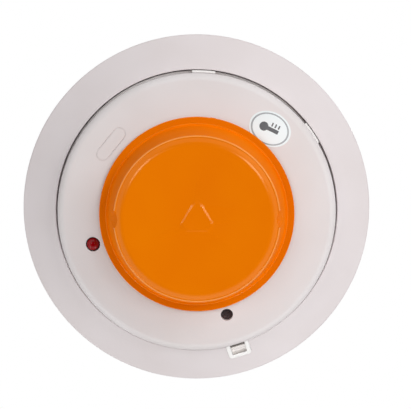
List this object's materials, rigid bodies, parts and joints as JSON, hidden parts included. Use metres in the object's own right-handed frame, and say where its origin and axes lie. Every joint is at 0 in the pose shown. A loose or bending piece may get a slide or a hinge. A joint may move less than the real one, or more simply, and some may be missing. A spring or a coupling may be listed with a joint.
{
  "type": "plug-in ceiling heat detector",
  "caption": "Round plug-in heat detector head on a flanged ceiling base, with a twist-off bayonet, test port, indicator lamp and an orange lift-off dust cover over its sensing cage.",
  "frame": {"origin": "centre of the rear face, which lies on the ceiling", "axes": "+Z out of the ceiling face towards the nose of the detector; +X along the line of the two mounting slots; the release pocket lies towards -Y"},
  "size_m": [0.14, 0.14, 0.0459],
  "materials": {
    "head_plastic": "warm white moulded plastic, fine matt texture",
    "trim_plastic": "warm white moulded plastic, fine matt texture",
    "base_plastic": "bright white moulded plastic, satin",
    "lever_plastic": "light grey moulded plastic, ribbed",
    "cap_plastic": "orange moulded polyethylene, soft gloss",
    "contact_brass": "bright tinned brass strip",
    "screw_steel": "zinc plated steel",
    "board_laminate": "green solder resist on glass laminate",
    "part_dark": "black moulded epoxy",
    "capacitor_sleeve": "dark blue shrink sleeve",
    "resistor_body": "tan lacquered resistor body",
    "insulator_plastic": "natural insulating plastic",
    "plunger_plastic": "dark grey-brown moulded plastic",
    "led_lens": "deep red cast epoxy lens",
    "sensor_bead": "black dipped epoxy bead",
    "lead_wire": "tinned copper wire",
    "label_film": "white printed film sticker"
  },
  "bodies": {
    "base": {"mounting_base": "base_plastic", "trim_flange": "trim_plastic", "contact_clip_1": "contact_brass", "contact_clip_2": "contact_brass", "contact_clip_3": "contact_brass", "contact_clip_4": "contact_brass", "wire_clamps": "screw_steel", "terminal_screws": "screw_steel"},
    "lever": {"release_lever": "lever_plastic"},
    "head": {"head_back": "base_plastic", "contact_blade_1": "contact_brass", "contact_blade_2": "contact_brass", "contact_blade_3": "contact_brass", "contact_blade_4": "contact_brass", "circuit_board": "board_laminate", "control_chip": "part_dark", "filter_capacitor": "capacitor_sleeve", "resistors": "resistor_body", "suppressor_diodes": "part_dark", "reference_thermistor": "sensor_bead", "test_switch": "part_dark", "led_spacer": "insulator_plastic", "indicator_led": "led_lens", "thermistor_leads": "lead_wire", "thermistor_sleeve": "insulator_plastic", "sensing_thermistor": "sensor_bead", "thermistor_guard": "base_plastic", "head_cover": "head_plastic", "case_screws": "screw_steel", "approval_label": "label_film"},
    "plunger": {"test_plunger": "plunger_plastic", "switch_button": "insulator_plastic"},
    "cap": {"dust_cover": "cap_plastic"}
  },
  "joints": [
    {"name": "head_twist", "type": "hinge", "parent": "base", "child": "head", "pos_m": [0, 0, 0.0094], "axis": [0, 0, 1], "range_deg": [0, 18]},
    {"name": "cover_lift", "type": "slide", "parent": "head", "child": "cap", "axis": [0, 0, 1], "range_m": [0, 0.03]},
    {"name": "test_press", "type": "slide", "parent": "head", "child": "plunger", "axis": [0, 0, -1], "range_m": [0, 0.0008], "stiffness_N_per_m": 200},
    {"name": "lever_release", "type": "hinge", "parent": "base", "child": "lever", "pos_m": [0.01672, -0.05554, 0.0043], "axis": [-0.9576, -0.2882, 0], "range_deg": [0, 6], "stiffness_Nm_per_rad": 0.05}
  ]
}
